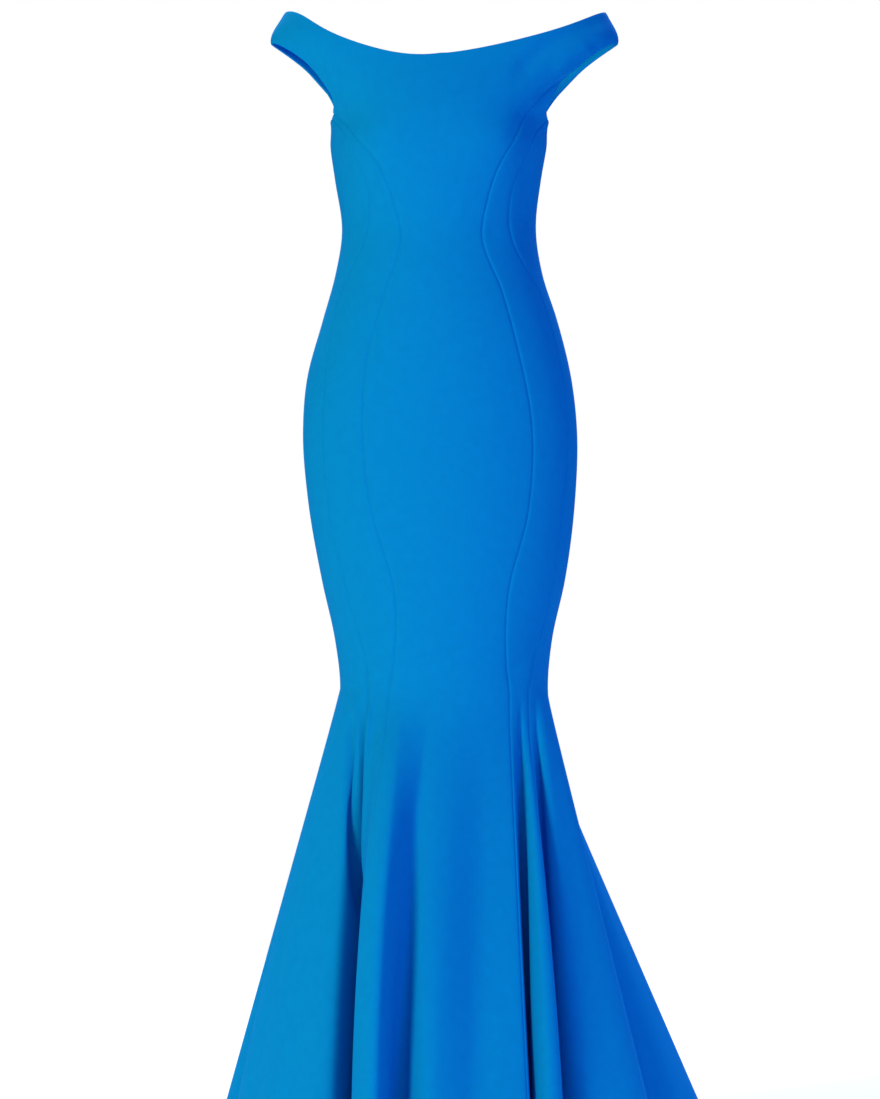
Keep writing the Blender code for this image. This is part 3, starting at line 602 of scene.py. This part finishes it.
def zipMouth(share, lengths, index):
    # Above the slider the centre back seam stands open, so the shares of those rows keep off that edge
    atNear, atFar = (nearSeam(i) == "centreBack" for i in (index, index + 1))
    if not (atNear or atFar):
        return share
    climb = gown["chestHeight"] + (gown["neckBack"] - gown["chestHeight"]) * middleClimb()[1:]
    height = np.concatenate([np.zeros(len(lengths) - len(climb)), climb])
    ajar = zipper["mouth"] / 2 * np.clip((height - zipper["top"]) / zipper["mouthRun"], 0, 1) / lengths
    kept = share * (1 - ajar[:, None])
    return kept + ajar[:, None] if atNear else kept


def makePanel(index, material):
    # The piece's outer face, lowered at seams and turned edges and moved by the creases. The inner face
    # follows it one cloth further in, and further where an edge is turned in.
    name, _, _, _, columns, (width, length, area) = pieces[index]
    rowCount = len(skirtDrops) + rows["body"] + 1 + yokeRowCount(index)
    rough = np.linspace(0, 1, rows["roughColumns"]) * np.ones((rowCount, 1))
    lengths = rowLengths(panelSurface(index, rough)[0])
    share = zipMouth(columnShares(lengths, columns), lengths, index)
    outer, normal = panelSurface(index, share)
    toSeam, toEdge, fromHem = edgeDistances(outer, share, index)
    sunk = sewing["seamDepth"] * bell(toSeam, sewing["seamHalfWidth"])
    ridge = sewing["pressedRidge"] * stepDown(toSeam, sewing["allowance"], sewing["allowanceSoftness"])
    curl = np.clip(1 - toEdge / sewing["edgeRound"], 0, 1)
    rounded = gown["cloth"] / 2 * (1 - np.sqrt(np.clip(1 - curl ** 2, 0, 1)))
    hemLine = sewing["hemLineDepth"] * bell(fromHem - sewing["hemLineHeight"], sewing["hemLineHalfWidth"])
    drop = np.concatenate([skirtDrops, np.zeros(rowCount - len(skirtDrops))])[:, None] + 0 * share
    crease = bodyCreases(outer, frontCreases, facingShare(normal, -1))
    crease += bodyCreases(outer, backCreases, facingShare(normal, 1))
    crease += skirtCreaseDepth(index + share, drop)
    outer = outer + normal * (crease + ridge - sunk - rounded - hemLine)[..., None]
    turned = sewing["turnedThickness"] * stepDown(toEdge, sewing["turnedDepth"], sewing["turnedSoftness"])
    inner = outer - normal * (gown["cloth"] + turned - sewing["innerRounding"] * rounded)[..., None]
    points, faces = wall(outer, inner)
    panel = meshPiece("crepe_" + name, points, faces.tolist(), material, "gown")
    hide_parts(name)


def linear(hexColour):
    # sRGB hex to linear light
    value = np.array([int(hexColour[i:i + 2], 16) for i in (0, 2, 4)]) / 255
    value = np.where(value <= 0.04045, value / 12.92, ((value + 0.055) / 1.055) ** 2.4)
    return (*value, 1.0)


def addNode(tree, kind, settings=None, links=()):
    # Settings are the node's inputs by name or number, or else its own values.
    # Each link is an input, the other node and its output.
    node = tree.nodes.new(kind)
    for key, value in (settings or {}).items():
        if isinstance(key, int) or key in node.inputs:
            node.inputs[key].default_value = value
        else:
            setattr(node, key, value)
    for target, source, output in links:
        tree.links.new(source.outputs[output], node.inputs[target])
    return node


def addTexture(tree, kind, settings):
    # A pattern fixed to the object, in metres
    place = addNode(tree, "ShaderNodeTexCoord")
    return addNode(tree, kind, settings, [("Vector", place, "Object")])


def newMaterial(name, settings):
    made = bpy.data.materials.new(name)
    made.use_nodes = True
    shader = made.node_tree.nodes["Principled BSDF"]
    for socket, value in settings.items():
        shader.inputs[socket].default_value = value
    return made, made.node_tree, shader


def blendColours(tree, shader, low, high, source, output):
    # The material's colour goes from low to high with another node's value; 6 and 7 are the mix's two colours
    mix = addNode(tree, "ShaderNodeMix", {"data_type": "RGBA", 6: linear(low), 7: linear(high)},
                  [("Factor", source, output)])
    tree.links.new(mix.outputs[2], shader.inputs["Base Color"])


def addBump(tree, shader, strength, height, source, output):
    bump = addNode(tree, "ShaderNodeBump", {"Strength": strength, "Distance": height},
                   [("Height", source, output)])
    tree.links.new(bump.outputs[0], shader.inputs["Normal"])


# Heavy matt stretch crepe of polyester and elastane, piece dyed: a pebbled face with no shine of its own,
# only a faint bloom where it turns away
crepe = {
    "colour": "0087CE", "deep": "007DC4", "roughness": 0.9, "specular": 0.04, "ior": 1.5,
    "sheen": 0.15, "sheenTint": "0058FF", "sheenRoughness": 0.5,
    "pebble": 0.0011,       # the real grain is about 0.4 mm, drawn coarser so that it shows
    "pebbleHeight": 0.00005, "pebbleStrength": 0.5,
    "slub": 0.012, "slubDetail": 3.0, "slubRoughness": 0.55,
}


def crepeMaterial():
    made, tree, shader = newMaterial("matt_stretch_crepe", {
        "Roughness": crepe["roughness"], "Specular IOR Level": crepe["specular"], "IOR": crepe["ior"],
        "Sheen Weight": crepe["sheen"], "Sheen Roughness": crepe["sheenRoughness"],
        "Sheen Tint": linear(crepe["sheenTint"]),
    })
    grain = addTexture(tree, "ShaderNodeTexVoronoi", {"feature": "SMOOTH_F1", "Scale": 1 / crepe["pebble"]})
    cloud = addTexture(tree, "ShaderNodeTexNoise", {
        "Scale": 1 / crepe["slub"], "Detail": crepe["slubDetail"], "Roughness": crepe["slubRoughness"],
    })
    blendColours(tree, shader, crepe["deep"], crepe["colour"], cloud, "Fac")
    addBump(tree, shader, crepe["pebbleStrength"], crepe["pebbleHeight"], grain, "Distance")
    return made


# Woven polyester zip tape, dyed with the cloth: close ribs along its length and a dull thready gloss
tape = {
    "colour": "0077BE", "deep": "0066AC", "roughness": 0.7, "specular": 0.25, "sheen": 0.3,
    "rib": 0.0009, "ribHeight": 0.00008, "ribStrength": 0.6, "ribDistortion": 0.6, "ribDetail": 2.0,
}
wavePeriod = 0.314      # the wave texture's own period at scale 1, in metres


def tapeMaterial():
    made, tree, shader = newMaterial("woven_polyester_tape", {
        "Roughness": tape["roughness"], "Specular IOR Level": tape["specular"], "Sheen Weight": tape["sheen"],
    })
    ribs = addTexture(tree, "ShaderNodeTexWave", {
        "bands_direction": "X", "Scale": wavePeriod / tape["rib"],
        "Distortion": tape["ribDistortion"], "Detail": tape["ribDetail"],
    })
    blendColours(tree, shader, tape["deep"], tape["colour"], ribs, "Fac")
    addBump(tree, shader, tape["ribStrength"], tape["ribHeight"], ribs, "Fac")
    return made


# Extruded nylon thread, the coil: smooth, a little shiny and slightly see-through at its edges
nylon = {
    "colour": "0A72B8", "roughLeast": 0.26, "roughMost": 0.42, "ior": 1.53, "depth": 0.1,
    "streak": 0.004, "streakDetail": 2.0,
}


def nylonMaterial():
    made, tree, shader = newMaterial("extruded_nylon", {
        "IOR": nylon["ior"], "Subsurface Weight": nylon["depth"],
    })
    streaks = addTexture(tree, "ShaderNodeTexNoise", {
        "Scale": 1 / nylon["streak"], "Detail": nylon["streakDetail"],
    })
    rough = addNode(tree, "ShaderNodeMapRange", {"To Min": nylon["roughLeast"], "To Max": nylon["roughMost"]},
                    [("Value", streaks, "Fac")])
    blendColours(tree, shader, tape["deep"], nylon["colour"], streaks, "Fac")
    tree.links.new(rough.outputs[0], shader.inputs["Roughness"])
    return made


# Zinc alloy die casting under baked enamel: an even gloss, a faint orange peel, thinner and darker at edges
enamel = {
    "colour": "0080C6", "deep": "0068A8", "roughness": 0.28, "coat": 0.4, "coatRoughness": 0.12,
    "peel": 0.0007, "peelHeight": 0.00002, "peelStrength": 0.4, "peelDetail": 2.0,
    "edgeStart": 0.5, "edgeEnd": 0.62,
}


def enamelMaterial():
    made, tree, shader = newMaterial("enamelled_zinc", {
        "Roughness": enamel["roughness"], "Coat Weight": enamel["coat"],
        "Coat Roughness": enamel["coatRoughness"],
    })
    peel = addTexture(tree, "ShaderNodeTexNoise", {
        "Scale": 1 / enamel["peel"], "Detail": enamel["peelDetail"],
    })
    shape = addNode(tree, "ShaderNodeNewGeometry")
    edge = addNode(tree, "ShaderNodeMapRange", {
        "From Min": enamel["edgeStart"], "From Max": enamel["edgeEnd"],
    }, [("Value", shape, "Pointiness")])
    blendColours(tree, shader, enamel["colour"], enamel["deep"], edge, "Result")
    addBump(tree, shader, enamel["peelStrength"], enamel["peelHeight"], peel, "Fac")
    return made


def behindSeam(across, heights, depth):
    # Points behind the centre back seam, so far from it along the cloth and so deep in from its outer face.
    # They follow the cloth's creases and its sunken seam.
    bearing = 180 - np.degrees(np.arcsin(across / section(heights, "halfWidth")))
    points = bodyPoint(bearing, heights)
    normal = surfaceNormals(bodyPoint, bearing, heights, bodyChord)
    crease = bodyCreases(points, backCreases, facingShare(normal, 1))
    sunk = sewing["seamDepth"] * bell(across, sewing["seamHalfWidth"])
    return points + normal * (crease - sunk - depth)[..., None]


def sweepQuads(index):
    # Quads between the rows of a grid of point numbers whose columns close in a ring
    ahead = np.roll(index, -1, 1)
    return np.stack([index[:-1], index[1:], ahead[1:], ahead[:-1]], -1).reshape(-1, 4)


def makeTape(side, material):
    # A flat strip whose free edge lifts off the cloth in a slow sine; side is 1 for the wearer's left
    across = np.linspace(zipper["tapeStart"], zipper["tapeEnd"], zipper["tapeColumns"])[::side]
    heights = np.linspace(zipper["foot"], zipper["top"], zipper["tapeRows"])[:, None] + 0 * across
    share = (across - zipper["tapeStart"]) / (zipper["tapeEnd"] - zipper["tapeStart"])
    wave = 0.5 + 0.5 * np.sin(heights * 2 * np.pi / zipper["waveLength"] + side)
    depth = gown["cloth"] + zipper["tapeGap"] + zipper["edgeLift"] * share ** 3 * wave
    outer, inner = (behindSeam(side * across + 0 * heights, heights, depth + more)
                    for more in (0, zipper["tapeThickness"]))
    points, faces = wall(outer, inner)
    if side < 0:
        faces = faces[:, ::-1]
    strip = meshPiece("tape_left" if side > 0 else "tape_right", points, faces.tolist(), material, "gown")
    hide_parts("zip_tape")


def makeCoil(material):
    # A flattened helix behind the seam, with a round thread about it: rings square to the helix, and both
    # ends closed
    turns = (zipper["top"] - zipper["foot"]) / zipper["coilPitch"]
    turn = 2 * np.pi * np.arange(int(turns * zipper["turnPoints"])) / zipper["turnPoints"]
    across = zipper["coilHalfWidth"] * np.cos(turn)
    heights = zipper["foot"] + zipper["coilPitch"] * turn / (2 * np.pi)
    depth = zipper["coilDepth"] - zipper["coilHalfDepth"] * np.sin(turn)
    path = behindSeam(across[:, None], heights[:, None], depth[:, None])[:, 0]
    along = np.gradient(path, axis=0)
    aside = unit(np.cross(along, (0, 0, 1)))
    up = unit(np.cross(aside, along))
    angle = ringAngles(zipper["threadSides"])[:, None]
    ring = aside[:, None] * np.cos(angle) + up[:, None] * np.sin(angle)
    points = path[:, None] + zipper["threadRadius"] * ring
    index = np.arange(len(path) * len(angle)).reshape(-1, len(angle))
    faces = sweepQuads(index).tolist() + [index[0].tolist(), index[-1, ::-1].tolist()]
    coil = meshPiece("zip_coil", points.reshape(-1, 3), faces, material, "gown")
    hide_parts("zip_tape")


def stitchShape():
    # One drop of thread, an ellipsoid along z: its points, its quads, and the triangles round its two ends
    sides, rings = zipper["stitchSides"], zipper["stitchRings"]
    polar = np.linspace(0, np.pi, rings)[1:-1, None]
    angle = ringAngles(sides)
    wide = np.sin(polar)
    body = np.stack([wide * np.cos(angle), wide * np.sin(angle), np.cos(polar) + 0 * angle], -1)
    points = np.vstack([[[0, 0, 1]], body.reshape(-1, 3), [[0, 0, -1]]])
    points *= (zipper["stitchRadius"], zipper["stitchRadius"], zipper["stitchLength"] / 2)
    index = 1 + np.arange((rings - 2) * sides).reshape(-1, sides)
    ahead = np.roll(index, -1, 1)
    first, last = np.zeros(sides, int), np.full(sides, len(points) - 1)
    ends = np.vstack([np.stack([first, index[0], ahead[0]], -1), np.stack([last, ahead[-1], index[-1]], -1)])
    return points, sweepQuads(index), ends


def makeZipStitches(material):
    # A long drop of thread for each stitch, in a row on each tape, stood along the cloth
    heights = np.arange(zipper["foot"] + zipper["stitchPitch"], zipper["top"], zipper["stitchPitch"])
    across = np.repeat([-zipper["stitchAcross"], zipper["stitchAcross"]], len(heights))[:, None]
    heights = np.tile(heights, 2)[:, None]
    depth = gown["cloth"] + zipper["tapeGap"] + zipper["tapeThickness"]
    middle = behindSeam(across, heights, depth)[:, 0]
    along = unit(behindSeam(across, heights + zipper["stitchChord"], depth)[:, 0] - middle)
    side = unit(np.cross(along, (0, 1, 0)))
    shape, quads, ends = stitchShape()
    axes = np.stack([side, np.cross(side, along), along], axis=1)
    points = middle[:, None] + np.einsum("pk,skc->spc", shape, axes)
    starts = (len(shape) * np.arange(len(middle)))[:, None, None]
    faces = (quads + starts).reshape(-1, 4).tolist() + (ends + starts).reshape(-1, 3).tolist()
    stitches = meshPiece("zip_stitches", points.reshape(-1, 3), faces, material, "gown")


crepeFinish = crepeMaterial()
for i in range(len(pieces)):
    makePanel(i, crepeFinish)
print("panels made")

tapeFinish = tapeMaterial()
for side in (1, -1):
    makeTape(side, tapeFinish)
makeCoil(nylonMaterial())
makeZipStitches(tapeFinish)
enamelFinish = enamelMaterial()
for name in ("zip_slider", "zip_tab"):
    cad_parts[name].data.materials[0] = enamelFinish
print("zip made")


# Plain studio: a pale round floor before white, a warm key light from the viewer's left, a blue fill from the
# right and a soft light overhead
studio = {
    "floorColour": "F6F7F9", "floorRoughness": 0.8, "floorSpecular": 0.2,
    "floorGap": 0.002, "floorRadius": 2.6, "floorSides": 128,
    "backdropColour": "FFFFFF", "worldColour": "8CB4FF", "worldStrength": 0.25,
    "keyPlace": (-2.9, -3.4, 0.6), "keyAim": (0.0, 0.0, -0.7),
    "keySize": 1.2, "keyPower": 165, "keyColour": "FFFAC8",
    "fillPlace": (2.8, -3.0, 0.2), "fillAim": (0.0, 0.0, -0.7),
    "fillSize": 2.6, "fillPower": 66, "fillColour": "6494FF",
    "topPlace": (0.0, 1.9, 2.3), "topAim": (0.0, 1.9, -1.5),
    "topSize": 3.0, "topPower": 190, "topColour": "FFFFFF",
}


def makeFloor():
    # One flat round face under the hem
    turn = ringAngles(studio["floorSides"])
    low = 0 * turn - gown["holdHeight"] - studio["floorGap"]
    points = np.stack([studio["floorRadius"] * np.cos(turn), studio["floorRadius"] * np.sin(turn), low], -1)
    mesh = bpy.data.meshes.new("studioFloor")
    mesh.from_pydata(points.tolist(), [], [list(range(len(points)))])
    floorFinish, _, _ = newMaterial("matt_painted_floor", {
        "Base Color": linear(studio["floorColour"]), "Roughness": studio["floorRoughness"],
        "Specular IOR Level": studio["floorSpecular"],
    })
    mesh.materials.append(floorFinish)
    floor = bpy.data.objects.new("studioFloor", mesh)
    bpy.context.scene.collection.objects.link(floor)


def aim(thing, target):
    # Tips and turns the thing so that its -z axis points at the target
    x, y, z = np.array(target) - np.array(thing.location)
    thing.rotation_euler = (math.atan2(math.hypot(x, y), -z), 0, math.atan2(y, x) - math.pi / 2)


def areaLight(name):
    # A round soft light, with the studio's place, aim, size, power and colour of that name
    data = bpy.data.lights.new(name + "Light", "AREA")
    data.shape = "DISK"
    data.size = studio[name + "Size"]
    data.energy = studio[name + "Power"]
    data.color = linear(studio[name + "Colour"])[:3]
    light = bpy.data.objects.new(name + "Light", data)
    light.location = studio[name + "Place"]
    aim(light, studio[name + "Aim"])
    bpy.context.scene.collection.objects.link(light)


def makeWorld():
    # White where the camera sees past the floor, and a weak blue light from all round
    world = bpy.data.worlds.new("studioWorld")
    world.use_nodes = True
    tree = world.node_tree
    soft = tree.nodes["Background"]
    soft.inputs["Color"].default_value = linear(studio["worldColour"])
    soft.inputs["Strength"].default_value = studio["worldStrength"]
    seen = addNode(tree, "ShaderNodeBackground", {"Color": linear(studio["backdropColour"])})
    path = addNode(tree, "ShaderNodeLightPath")
    links = [("Fac", path, "Is Camera Ray"), (1, soft, 0), (2, seen, 0)]
    both = addNode(tree, "ShaderNodeMixShader", None, links)
    tree.links.new(both.outputs[0], tree.nodes["World Output"].inputs[0])
    bpy.context.scene.world = world
    bpy.context.scene.view_settings.view_transform = "Standard"


# The photograph's view: level with the thighs, 4.5 m away, with 1.43 m of the gown's plane in the frame
view = {"distance": 4.5, "frameHeight": 1.4287, "aimHeight": 0.8327, "sensor": 36.0}


def makeCamera():
    data = bpy.data.cameras.new("camera")
    data.sensor_fit = "VERTICAL"
    data.sensor_height = view["sensor"]
    data.lens = view["sensor"] * view["distance"] / view["frameHeight"]
    camera = bpy.data.objects.new("camera", data)
    camera.location = (0, -view["distance"], view["aimHeight"] - gown["holdHeight"])
    camera.rotation_euler = (math.pi / 2, 0, 0)
    bpy.context.scene.collection.objects.link(camera)
    bpy.context.scene.camera = camera


makeFloor()
for name in ("key", "fill", "top"):
    areaLight(name)
makeWorld()
makeCamera()
print("studio and camera made")
